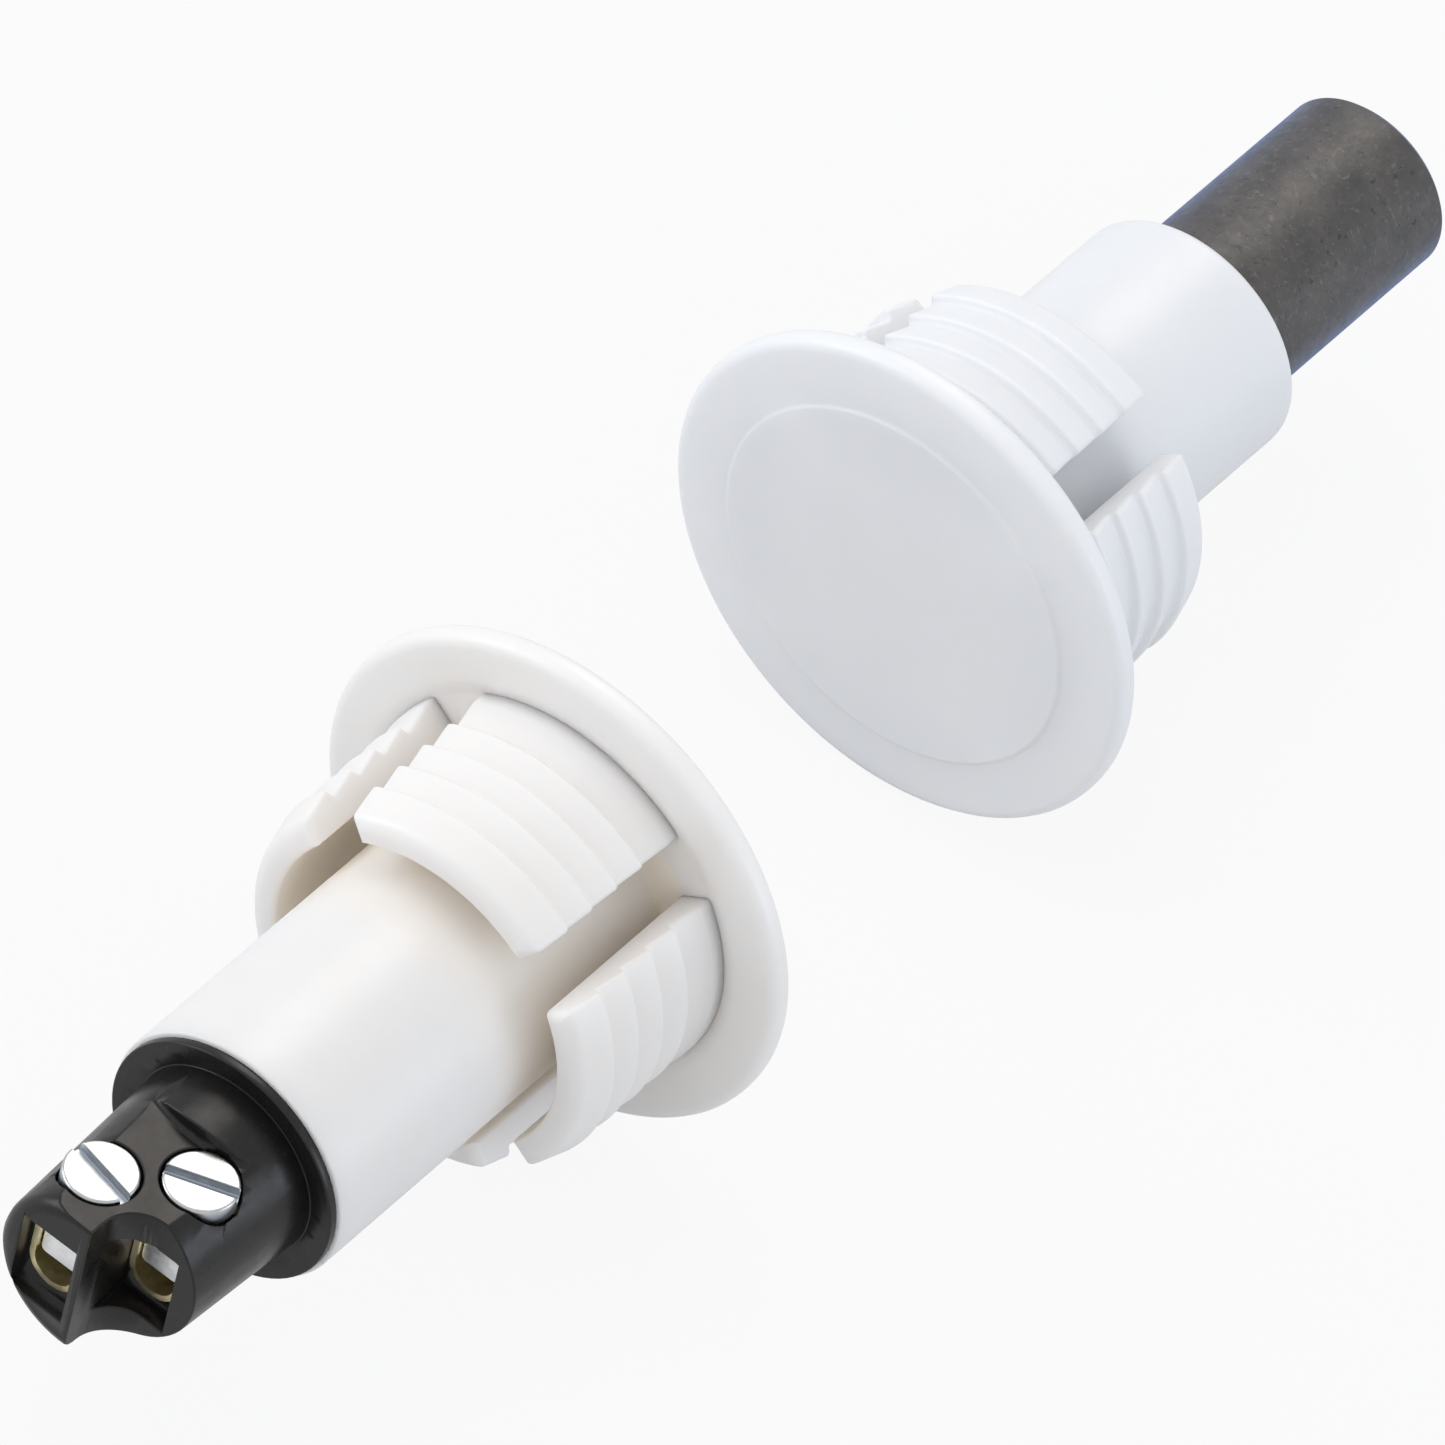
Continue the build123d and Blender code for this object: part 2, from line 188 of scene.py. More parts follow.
def piece(name, patches, material, body):
    """One mesh object from several patches. Points that coincide are merged, which closes poles and seams,
    and the normals are then worked out again to point outwards."""
    points, faces, offset = [], [], 0
    for patch_points, patch_faces in patches:
        points.append(patch_points)
        faces.append(patch_faces + offset)
        offset += len(patch_points)
    mesh = bpy.data.meshes.new(name)
    mesh.from_pydata((np.concatenate(points) * MM).tolist(), [], np.concatenate(faces).tolist())
    shell = bmesh.new()
    shell.from_mesh(mesh)
    bmesh.ops.remove_doubles(shell, verts=shell.verts, dist=SAME_POINT * MM)
    bmesh.ops.recalc_face_normals(shell, faces=shell.faces)
    shell.to_mesh(mesh)
    shell.free()
    mesh.polygons.foreach_set("use_smooth", np.ones(len(mesh.polygons), bool))
    made = bpy.data.objects.new(name, mesh)
    bpy.context.scene.collection.objects.link(made)
    made.data.materials.append(material)
    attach(made, body)
    return made


def rounded(outline, radii, steps=5):
    """Outline whose corners are arcs. The arc of a corner is tangent to both of its sides. A point a little
    outside each end of the arc keeps the flat beside it flat under smooth shading."""
    outline = np.asarray(outline, float)
    made = [outline[:1]]
    for before, corner, after, radius in zip(outline[:-2], outline[1:-1], outline[2:], radii):
        back = (before - corner) / np.linalg.norm(before - corner)
        ahead = (after - corner) / np.linalg.norm(after - corner)
        half = math.acos(np.clip(back @ ahead, -1, 1)) / 2
        shorter_side = min(np.linalg.norm(before - corner), np.linalg.norm(after - corner))
        reach = min(radius / math.tan(half), ROUND_SHARE * shorter_side)
        radius = reach * math.tan(half)
        middle = (back + ahead) / np.linalg.norm(back + ahead)
        centre = corner + middle * radius / math.sin(half)
        start, end = corner + back * reach - centre, corner + ahead * reach - centre
        share = np.linspace(0, 1, steps + 1)[:, None]
        sweep = math.pi - 2 * half
        arc = centre + (np.sin((1 - share) * sweep) * start + np.sin(share * sweep) * end) / math.sin(sweep)
        beside = FLAT_GUARD * reach
        made.append((corner + back * (reach + beside))[None])
        made.append(arc)
        made.append((corner + ahead * (reach + beside))[None])
    made.append(outline[-1:])
    return np.concatenate(made)


def turned(outline, steps=256, swell=None):
    """Surface of revolution about Y: a profile point (r, y) goes to (r sin t, y, r cos t) for t round the
    circle. swell adds to the radius, as an array over profile points and angles."""
    angle = np.linspace(0, 2 * math.pi, steps, endpoint=False)[None, :]
    radius = outline[:, :1] + (0 if swell is None else swell(outline, angle))
    height = np.broadcast_to(outline[:, 1:], (len(outline), steps))
    return patch(np.stack([radius * np.sin(angle), height, radius * np.cos(angle)], -1), around=True)


def wing_section():
    """Section of one wing as two lines of (radius, height) that share their heights: the outside with five
    saw-tooth barbs and a lead-in, and the inside, which is straight with a small round at its end. The first
    barb runs into the flange at its full radius."""
    points, rounds = [(BARB_CREST, WING_SUNK), (BARB_CREST, -BARB_FIRST)], [BARB_ROUND]
    for barb in range(1, BARB_COUNT):
        steep = -(BARB_FIRST + barb * BARB_PITCH)
        points += [(WING_ROOT, steep + BARB_FACE), (BARB_CREST, steep)]
        rounds += [BARB_FOOT_ROUND, BARB_ROUND]
    points.append((WING_ROOT, -BARB_FIRST - BARB_COUNT * BARB_PITCH))
    points.append((WING_ROOT - WING_LEAD_IN, -WING_LENGTH))
    points.append((WING_INNER + WING_EDGE, -WING_LENGTH))
    outside = rounded(points, rounds + list(WING_END_ROUNDS))[:-1]
    outside = outside[np.append(True, np.linalg.norm(np.diff(outside, axis=0), axis=1) > SAME_POINT)]
    height = outside[:, 1]
    drop = np.clip(WING_EDGE - (height + WING_LENGTH), 0, WING_EDGE)
    inside = np.stack([WING_INNER + WING_EDGE - np.sqrt(WING_EDGE**2 - drop**2), height], -1)
    return outside, inside


def wings():
    """Four wings. Each is its section turned through the wing's angle. Near both sides the two lines of the
    section close in on each other by e - sqrt(e^2 - (e - s)^2), where s is the distance to the side, which
    rounds the edge. There its heights stop at a quarter circle of the corner's radius. Each side is closed
    between its two lines."""
    outside, inside = wing_section()
    half = len(outside)
    section = np.concatenate([outside, inside[::-1]])
    inward = np.where(np.arange(2 * half) < half, -1.0, 1.0)[:, None]
    mean = (WING_INNER + BARB_CREST) / 2
    arc = math.radians(WING_ANGLE) * mean
    near = WING_EDGE * (1 - np.cos(np.linspace(0, math.pi / 2, EDGE_STEPS)))
    corner = WING_CORNER * (1 - np.cos(np.linspace(CORNER_START, math.pi / 2, CORNER_STEPS)))
    side = np.unique(np.concatenate([near, corner]).round(2))
    between_sides = np.linspace(WING_CORNER, arc - WING_CORNER, WING_STEPS)[1:-1]
    along = np.concatenate([side, between_sides, (arc - side)[::-1]])
    distance = np.minimum(along, arc - along)
    edge = np.clip(WING_EDGE - distance, 0, WING_EDGE)
    inset = WING_EDGE - np.sqrt(np.maximum(WING_EDGE**2 - edge**2, 0))
    reach = np.clip(WING_CORNER - distance, 0, WING_CORNER)
    stop = -WING_LENGTH + WING_CORNER - np.sqrt(WING_CORNER**2 - reach**2)
    radius = section[:, :1] + inward * inset
    height = np.maximum(section[:, 1:], stop[None, :])
    made = []
    for wing in range(WING_COUNT):
        angle = along / mean + wing * 2 * math.pi / WING_COUNT - math.radians(WING_ANGLE) / 2
        points = np.stack([radius * np.sin(angle), height, radius * np.cos(angle)], -1)
        made.append(patch(points, along=True))
        for end in (0, -1):
            count = int(np.argmax(points[:half, end, 1] <= stop[end] + SAME_LENGTH)) + 1
            rim = np.stack([points[:half, end], points[:half - 1:-1, end]])[:, :count]
            inner_rim = rim + FLAT_GUARD * (rim.mean(0, keepdims=True) - rim)
            made.append(patch(np.concatenate([rim[:1], inner_rim, rim[1:]])))
    return made


def housing(tube, length, end_round, bore, floor, ribs=None):
    """Flange, tube and bore as one turned profile, from the middle of the bore's floor to the middle of the
    front, with the wings beside it."""
    outline = [
        (0, floor),
        (bore, floor),
        (bore, -length),
        (tube, -length),
        (tube, RELIEF_DEPTH),
        (RELIEF_RADIUS - RELIEF_SLOPE_IN, RELIEF_DEPTH),
        (RELIEF_RADIUS + RELIEF_SLOPE_OUT, 0),
        (FLANGE_RADIUS, 0),
        (FLANGE_RADIUS, FLANGE_EDGE),
        (DISC_RADIUS, FLANGE_HEIGHT - DISC_STEP),
        (DISC_RADIUS - DISC_STEP, FLANGE_HEIGHT),
        (0, FLANGE_HEIGHT),
    ]
    rounds = [BORE_FLOOR_ROUND, BORE_MOUTH_ROUND, end_round, TUBE_FOOT_ROUND, RELIEF_ROUND, RELIEF_ROUND]
    rounds += [FLANGE_ROUND, FLANGE_ROUND, DISC_ROUND, DISC_ROUND]
    return [turned(rounded(outline, rounds), swell=ribs)] + wings()


def crush_ribs(outline, angle):
    """Six low ribs inside the bore: the radius falls to the rod's over each rib, with cosine flanks, between
    the bore's floor and a little inside its mouth."""
    on_bore = np.abs(outline[:, 0] - MAGNET_BORE) < SAME_LENGTH
    on_bore = on_bore & (outline[:, 1] > -MAGNET_LENGTH + RIB_SETBACK)
    spacing = 2 * math.pi / RIB_COUNT
    off = np.abs((angle + spacing / 2) % spacing - spacing / 2) * MAGNET_BORE
    rise = 0.5 + 0.5 * np.cos(math.pi * np.clip((off - RIB_WIDTH / 4) / (RIB_WIDTH / 2), 0, 1))
    return on_bore[:, None] * rise * (MAGNET_RADIUS + RIB_PLAY - MAGNET_BORE)


def to_magnet_side(patches):
    """Patches given half a turn about Z and the magnet half's own turn about Y, and moved to its seat."""
    turn = np.array(Matrix.Rotation(math.radians(-MAGNET_TURN), 3, "Y") @ Matrix.Rotation(math.pi, 3, "Z"))
    return [(points @ turn.T + [0, MAGNET_SEAT, 0], faces) for points, faces in patches]


def rod_surface():
    """Ground rod: a turned profile with small chamfers at both ends."""
    start, end = MAGNET_FLOOR, MAGNET_FLOOR - MAGNET_ROD
    outline = [
        (0, start),
        (MAGNET_RADIUS - MAGNET_CHAMFER, start),
        (MAGNET_RADIUS, start - MAGNET_CHAMFER),
        (MAGNET_RADIUS, end + MAGNET_CHAMFER),
        (MAGNET_RADIUS - MAGNET_CHAMFER, end),
        (0, end),
    ]
    return turned(rounded(outline, [ROD_EDGE_ROUND] * 4, steps=3), steps=192)


def screw_head(x, y, slot_angle):
    """Slotted head. The top is cut in chords along the slot: chord c runs from -sqrt(R^2 - c^2) to
    +sqrt(R^2 - c^2). Its height drops to the slot's floor where |c| is under half the slot's width, and the
    outer rim falls by a quarter circle. Past both ends each chord goes on down the side and back to the
    middle of the underside."""
    half = SLOT_WIDTH / 2
    wall = half + np.array(SLOT_WALL_POINTS)
    field = np.linspace(half + SLOT_WALL, HEAD_RADIUS * HEAD_FIELD_SHARE, HEAD_FIELD_STEPS)
    rim = HEAD_RADIUS * np.sin(np.linspace(HEAD_RIM_START, math.pi / 2, HEAD_RIM_STEPS))
    positive = np.concatenate([[0, half / 2], wall, field[1:], rim[1:]])
    chord = np.concatenate([-positive[:0:-1], positive])
    reach = np.sqrt(np.maximum(HEAD_RADIUS**2 - chord**2, 0))
    share = np.sin(np.linspace(-math.pi / 2, math.pi / 2, CHORD_STEPS))
    past_wall = np.clip((np.abs(chord) - half) / SLOT_WALL, -0.5, 0.5)
    depth = SLOT_DEPTH * (0.5 - 0.5 * np.sin(math.pi * past_wall))
    across = np.broadcast_to(chord[:, None], (len(chord), len(share)))
    along = reach[:, None] * share[None, :]
    inside = np.clip(HEAD_EDGE - (HEAD_RADIUS - np.hypot(across, along)), 0, HEAD_EDGE)
    fall = HEAD_EDGE - np.sqrt(HEAD_EDGE**2 - inside**2)
    top = SCREW_TOP - np.maximum(depth[:, None], fall)
    columns = [np.stack([across, along, top], -1)]
    side = [(HEAD_BOTTOM + HEAD_FOOT, 1.0), (HEAD_BOTTOM, HEAD_FOOT_SHARE)]
    for height, scale in side + [(HEAD_BOTTOM, 0.0)]:
        columns.append(np.stack([chord, reach * scale, np.full_like(chord, height)], -1)[:, None])
    for height, scale in side:
        columns.insert(0, np.stack([chord, -reach * scale, np.full_like(chord, height)], -1)[:, None])
    points = np.concatenate(columns, 1)
    angle = math.radians(slot_angle - 90)
    cosine, sine = math.cos(angle), math.sin(angle)
    turn = np.array([[cosine, -sine, 0], [sine, cosine, 0], [0, 0, 1]])
    return patch(points @ turn.T + [x, y, 0], around=True)


def screw_shank(x, y):
    """Threaded shank and swivel pin: radius against height and angle. The thread is a rounded triangle wave
    of height / pitch - angle / full turn, so it rises anticlockwise, and it fades at both ends."""
    top = HEAD_BOTTOM + SHANK_SUNK
    height = np.linspace(SHANK_BOTTOM, top, SHANK_RINGS)[:, None]
    angle = np.linspace(0, 2 * math.pi, SHANK_STEPS, endpoint=False)[None, :]
    phase = (height / THREAD_PITCH - angle / (2 * math.pi)) % 1
    groove = np.clip(np.abs(phase - 0.5) * THREAD_FLANK - THREAD_CREST, 0, 1)
    fade = np.clip((height - SHANK_BOTTOM) / THREAD_FADE_LOW, 0, 1)
    fade = fade * np.clip((HEAD_BOTTOM - height) / THREAD_FADE_HIGH, 0, 1)
    thread = THREAD_RADIUS - THREAD_DEPTH * (1 - (1 - groove) * fade)
    pin = np.array(
        [
            (0, PIN_BOTTOM),
            (PIN_RADIUS - PIN_CHAMFER, PIN_BOTTOM),
            (PIN_RADIUS, PIN_BOTTOM + PIN_CHAMFER),
            (PIN_RADIUS, SHANK_BOTTOM),
        ]
    )
    radius = np.concatenate([np.repeat(pin[:, :1], SHANK_STEPS, 1), thread, np.zeros((1, SHANK_STEPS))])
    height = np.concatenate([pin[:, 1:], height, [[top]]])
    height = np.repeat(height, SHANK_STEPS, 1)
    turn = np.broadcast_to(angle, radius.shape)
    return patch(np.stack([x + radius * np.cos(turn), y + radius * np.sin(turn), height], -1), around=True)


# Materials

# Places of a mix node's colour sockets
MIX_FIRST = 6
MIX_SECOND = 7
MIX_RESULT = 2

# Values of noise between which the roughness goes from its lowest to its highest
NOISE_LOW = 0.3
NOISE_HIGH = 0.7


class Finish:
    """A material built up step by step on one Principled shader, with patterns in object coordinates."""

    def __init__(self, name, **sockets):
        self.material = bpy.data.materials.new(name)
        self.material.use_nodes = True
        self.tree = self.material.node_tree
        self.shader = self.tree.nodes["Principled BSDF"]
        self.place = self.tree.nodes.new("ShaderNodeTexCoord").outputs["Object"]
        self.normal = None
        for socket, value in sockets.items():
            self.shader.inputs[socket.replace("_", " ")].default_value = value

    def add(self, kind, **values):
        """A new node of the kind, with its settings."""
        made = self.tree.nodes.new(kind)
        for key, value in values.items():
            setattr(made, key, value)
        return made

    def link(self, source, target):
        """Joins an output to an input."""
        self.tree.links.new(source, target)

    def mapped(self, centre=(0, 0, 0), stretch=(1, 1, 1)):
        """Object coordinates measured from a centre in millimetres, then stretched."""
        mapping = self.add("ShaderNodeMapping")
        self.link(self.place, mapping.inputs["Vector"])
        mapping.inputs["Location"].default_value = [-c * MM * s for c, s in zip(centre, stretch)]
        mapping.inputs["Scale"].default_value = stretch
        return mapping.outputs["Vector"]

    def noise(self, size, detail=3.0, rough=0.55, where=None):
        """Noise whose features are about size millimetres."""
        made = self.add("ShaderNodeTexNoise")
        self.link(where or self.place, made.inputs["Vector"])
        made.inputs["Scale"].default_value = 1 / (size * MM)
        made.inputs["Detail"].default_value = detail
        made.inputs["Roughness"].default_value = rough
        return made.outputs["Fac"]

    def ramp(self, value, stops):
        """Colour or grey that follows a value from 0 to 1 through stops of (place, colour)."""
        made = self.add("ShaderNodeValToRGB")
        self.link(value, made.inputs["Fac"])
        elements = made.color_ramp.elements
        while len(elements) < len(stops):
            elements.new(0.5)
        for element, (where, colour) in zip(elements, stops):
            element.position = where
            element.color = (*colour, 1) if isinstance(colour, tuple) else (colour, colour, colour, 1)
        return made.outputs["Color"]

    def mixed(self, factor, first, second):
        """The first colour where the factor is 0, the second where it is 1. Each is a value or a socket."""
        made = self.add("ShaderNodeMix", data_type="RGBA")
        sockets = (made.inputs["Factor"], made.inputs[MIX_FIRST], made.inputs[MIX_SECOND])
        for socket, value in zip(sockets, (factor, first, second)):
            if isinstance(value, bpy.types.NodeSocket):
                self.link(value, socket)
            else:
                socket.default_value = (*value, 1) if isinstance(value, tuple) else value
        return made.outputs[MIX_RESULT]

    def between(self, value, start, end):
        """A value in metres brought to 0 at start and 1 at end, both in millimetres, with a soft course."""
        made = self.add("ShaderNodeMapRange", interpolation_type="SMOOTHSTEP")
        self.link(value, made.inputs["Value"])
        made.inputs["From Min"].default_value = start * MM
        made.inputs["From Max"].default_value = end * MM
        return made.outputs["Result"]

    def bump(self, value, height):
        """Bump of the given height in millimetres, on top of the bumps before it."""
        made = self.add("ShaderNodeBump")
        self.link(value, made.inputs["Height"])
        made.inputs["Distance"].default_value = height * MM
        if self.normal is not None:
            self.link(self.normal, made.inputs["Normal"])
        self.normal = made.outputs["Normal"]
        self.link(self.normal, self.shader.inputs["Normal"])

    def coordinate(self, axis):
        """Object coordinate along one axis, in metres."""
        split = self.add("ShaderNodeSeparateXYZ")
        self.link(self.place, split.inputs["Vector"])
        return split.outputs[axis]

    def colour(self, source):
        """Base colour from a socket."""
        self.link(source, self.shader.inputs["Base Color"])

    def roughness(self, value, low, high):
        """Roughness from low to high that follows a noise."""
        rough = self.ramp(value, [(NOISE_LOW, low), (NOISE_HIGH, high)])
        self.link(rough, self.shader.inputs["Roughness"])


# The painted recess light, a cream tone that stands in for warm light passed through the plastic, starts
# and is full at these distances from the wings' inside and from the wings' ends
PAINTED_LIGHT_OUT = 0.25
PAINTED_LIGHT_IN = 0.05
PAINTED_LIGHT_BELOW = 4.5
PAINTED_LIGHT_ABOVE = 1.5


def housing_plastic(name, light, shade, painted_recess_light=None):
    """Satin moulded plastic: a broad, faint drift between two close tones, with fine moulding grain. Where a
    painted recess light is given, the plastic turns towards its cream tone inside the wings' radius, from
    past the wings' ends through to the front: painted light for warm light passed through the plastic."""
    depth = {"Subsurface_Weight": 0.6, "Subsurface_Scale": 0.002, "Subsurface_Radius": (1.0, 0.94, 0.86)}
    f = Finish(name, IOR=1.49, **depth)
    drift = f.noise(7.0, detail=4)
    tone = f.mixed(f.ramp(drift, [(0.35, 0.0), (0.68, 1.0)]), light, shade)
    # Painted light: a cream tone inside the wings' radius, by distance from the axis and height along it
    if painted_recess_light:
        radius = f.add("ShaderNodeVectorMath", operation="LENGTH")
        f.link(f.mapped(stretch=(1, 0, 1)), radius.inputs[0])
        within = f.between(radius.outputs["Value"], WING_INNER + PAINTED_LIGHT_OUT, WING_INNER + PAINTED_LIGHT_IN)
        under = f.between(f.coordinate("Y"), -WING_LENGTH - PAINTED_LIGHT_BELOW, -WING_LENGTH + PAINTED_LIGHT_ABOVE)
        both = f.add("ShaderNodeMath", operation="MULTIPLY")
        f.link(within, both.inputs[0])
        f.link(under, both.inputs[1])
        tone = f.mixed(both.outputs[0], tone, painted_recess_light)
    f.colour(tone)
    f.roughness(f.noise(0.9, detail=5), 0.30, 0.42)
    f.bump(f.noise(2.6, detail=2), 0.010)
    f.bump(f.noise(0.16, detail=2), 0.0018)
    return f.material


def block_plastic():
    """Black moulded plastic with a satin gloss, faint flow marks and a little dust."""
    f = Finish("black_moulded_plastic", IOR=1.4)
    dust = f.noise(0.35, detail=6, rough=0.7)
    dusty = f.ramp(dust, [(0.56, 0.0), (0.74, 1.0)])
    f.colour(f.mixed(dusty, (0.0105, 0.0096, 0.0090), (0.026, 0.025, 0.024)))
    f.roughness(f.noise(1.1, detail=5), 0.24, 0.36)
    f.bump(f.noise(1.5, detail=3), 0.008)
    f.bump(f.noise(0.12, detail=2), 0.0012)
    return f.material


# Size of the turned rings on screws and plates
RING_SIZE = 0.9


def plated_steel(name, centre, light, dark, painted_slot_shade=None):
    """Bright nickel plate over turned steel: fine rings round the screw's axis, with small blotches. Where a
    painted slot shade is given, the metal turns towards its blue-grey below the top of the screw, which
    paints shade in the slot and down the head's side."""
    f = Finish(name, Metallic=1.0, IOR=1.7)
    blotch = f.noise(0.6, detail=5, rough=0.65)
    metal = f.mixed(f.ramp(blotch, [(0.4, 0.0), (0.75, 1.0)]), light, dark)
    # Painted shade: blue-grey in the slot and on the head's side, by height below the screw's top
    if painted_slot_shade:
        below = f.between(f.coordinate("Z"), SCREW_TOP - SLOT_SHADE_START, SCREW_TOP - SLOT_SHADE_END)
        metal = f.mixed(below, metal, painted_slot_shade)
    f.colour(metal)
    f.roughness(f.noise(0.5, detail=4), 0.26, 0.40)
    rings = f.add("ShaderNodeTexWave", wave_type="RINGS", rings_direction="Z", wave_profile="SIN")
    f.link(f.mapped(centre=centre), rings.inputs["Vector"])
    rings.inputs["Scale"].default_value = 1 / (RING_SIZE * MM)
    rings.inputs["Distortion"].default_value = 1.2
    rings.inputs["Detail"].default_value = 3.0
    f.bump(rings.outputs["Fac"], 0.0004)
    f.bump(f.noise(0.25, detail=3), 0.0008)
    return f.material


def pressed_brass():
    """Bright pressed brass that is a little dull and olive in places."""
    f = Finish("pressed_brass", Metallic=1.0)
    tarnish = f.noise(0.8, detail=6, rough=0.7)
    dulled = f.ramp(tarnish, [(0.38, 0.0), (0.7, 1.0)])
    f.colour(f.mixed(dulled, (0.96, 0.85, 0.54), (0.76, 0.66, 0.36)))
    f.roughness(f.noise(0.4, detail=4), 0.30, 0.48)
    f.bump(f.noise(1.0, where=f.mapped(stretch=(1, 0.15, 1)), detail=3), 0.002)
    return f.material


def sintered_ferrite():
    """Sintered and ground ferrite: dark grey with brown and pale specks, pits and faint grinding lines."""
    # The blue sheen at grazing angles is a painted reflection, standing in for bluish light at the rod's
    # edges
    sheen = {"Sheen_Weight": 0.8, "Sheen_Roughness": 0.3, "Sheen_Tint": (0.22, 0.42, 0.95, 1)}
    f = Finish("sintered_ferrite", IOR=1.6, **sheen)
    cloud = f.noise(1.7, detail=6, rough=0.68)
    greys = ((0.036, 0.033, 0.032), (0.056, 0.051, 0.047), (0.082, 0.073, 0.064))
    base = f.ramp(cloud, list(zip((0.30, 0.50, 0.70), greys)))
    speck = f.ramp(f.noise(0.30, detail=4, rough=0.75), [(0.56, 0.0), (0.68, 1.0)])
    flecked = f.mixed(speck, base, (0.120, 0.109, 0.098))
    pit = f.ramp(f.noise(0.42, detail=3, rough=0.6), [(0.30, 1.0), (0.38, 0.0)])
    f.colour(f.mixed(pit, flecked, (0.020, 0.018, 0.018)))
    f.roughness(f.noise(0.5, detail=5), 0.38, 0.54)
    f.bump(f.noise(0.20, detail=4, rough=0.7), 0.012)
    f.bump(f.noise(0.6, where=f.mapped(stretch=(1, 0.08, 1)), detail=2), 0.004)
    return f.material


def capsule_glass():
    """Clear green-tinted glass with slight draw lines."""
    f = Finish("capsule_glass", Transmission_Weight=1.0, IOR=1.5, Base_Color=(0.80, 0.93, 0.87, 1))
    f.roughness(f.noise(1.5, detail=2), 0.01, 0.06)
    f.bump(f.noise(1.5, where=f.mapped(stretch=(1, 0.2, 1)), detail=2), 0.004)
    return f.material


def drawn_metal(name, light, dark, low, high):
    """Drawn or flowed metal with lines along its length."""
    f = Finish(name, Metallic=1.0)
    grain = f.noise(0.5, where=f.mapped(stretch=(1, 0.1, 1)), detail=4)
    f.colour(f.mixed(f.ramp(grain, [(0.35, 0.0), (0.7, 1.0)]), light, dark))
    f.roughness(f.noise(0.4, detail=4), low, high)
    f.bump(grain, 0.003)
    return f.material


def soft_plastic(name, light, dark, low, high):
    """Plain moulded or extruded plastic with a slight drift of tone."""
    f = Finish(name, IOR=1.5, Subsurface_Weight=0.1, Subsurface_Scale=0.001)
    f.colour(f.mixed(f.ramp(f.noise(2.0, detail=4), [(0.35, 0.0), (0.7, 1.0)]), light, dark))
    f.roughness(f.noise(0.7, detail=4), low, high)
    f.bump(f.noise(0.3, detail=3), 0.003)
    return f.material


# The switch half's cream recess colour is painted light for warm light passed through the plastic
warm_white = housing_plastic(
    "warm_white_plastic", (0.900, 0.872, 0.846), (0.880, 0.850, 0.816), painted_recess_light=(0.968, 0.880, 0.792)
)
cool_white = housing_plastic("cool_white_plastic", (0.864, 0.868, 0.878), (0.844, 0.849, 0.862))
black = block_plastic()
brass = pressed_brass()
ferrite = sintered_ferrite()
plate_middle = (0, (SCREWS["left"][1] + SCREWS["right"][1]) / 2, 0)
plate_metal = plated_steel("plated_clamp_steel", plate_middle, (0.93, 0.94, 0.94), (0.80, 0.81, 0.82))
# Light and dark plate, then the blue-grey painted shade for the slots and the heads' sides
screw_tones = ((0.605, 0.615, 0.61), (0.50, 0.51, 0.52), (0.40, 0.435, 0.485))
screw_metal = {
    side: plated_steel("plated_screw_steel_" + side, (x, y, 0), *screw_tones)
    for side, (x, y, _) in SCREWS.items()
}
reed_metal = drawn_metal("pressed_reed_alloy", (0.66, 0.64, 0.60), (0.48, 0.46, 0.43), 0.22, 0.38)
tinned = drawn_metal("tinned_wire_metal", (0.78, 0.78, 0.77), (0.60, 0.60, 0.60), 0.22, 0.36)
solder_metal = drawn_metal("flowed_solder", (0.74, 0.74, 0.76), (0.55, 0.55, 0.58), 0.16, 0.32)
glass = capsule_glass()
nylon = soft_plastic("natural_nylon", (0.80, 0.78, 0.70), (0.72, 0.70, 0.61), 0.38, 0.50)
sleeve_red = soft_plastic("red_sleeve_plastic", (0.62, 0.07, 0.06), (0.48, 0.05, 0.05), 0.35, 0.48)

CARRIED_OVER = {
    "terminal_cage_left": brass,
    "terminal_cage_right": brass,
    "clamp_plate_left": plate_metal,
    "clamp_plate_right": plate_metal,
    "reed_glass": glass,
    "reed_blade_front": reed_metal,
    "reed_blade_rear": reed_metal,
    "reed_carrier": nylon,
    "return_wire": tinned,
    "return_sleeve": sleeve_red,
    "solder_joint_front": solder_metal,
    "solder_joint_left": solder_metal,
    "solder_joint_right": solder_metal,
}
for node, material in CARRIED_OVER.items():
    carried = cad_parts[node]
    carried.data.materials.clear()
    carried.data.materials.append(material)


# Pieces

def hidden(x, y, z):
    """Whether a point in millimetres is inside one of the two wire mouths or in the tube."""
    front = BLOCK_END if x < 0 else BLOCK_END + RIGHT_SETBACK
    in_tube = y > -SWITCH_LENGTH + MOUTH_MARGIN
    in_mouth = y > front + MOUTH_MARGIN and MOUTH_INNER < abs(x) < MOUTH_OUTER and MOUTH_LOW < z < MOUTH_HIGH
    return in_tube or in_mouth


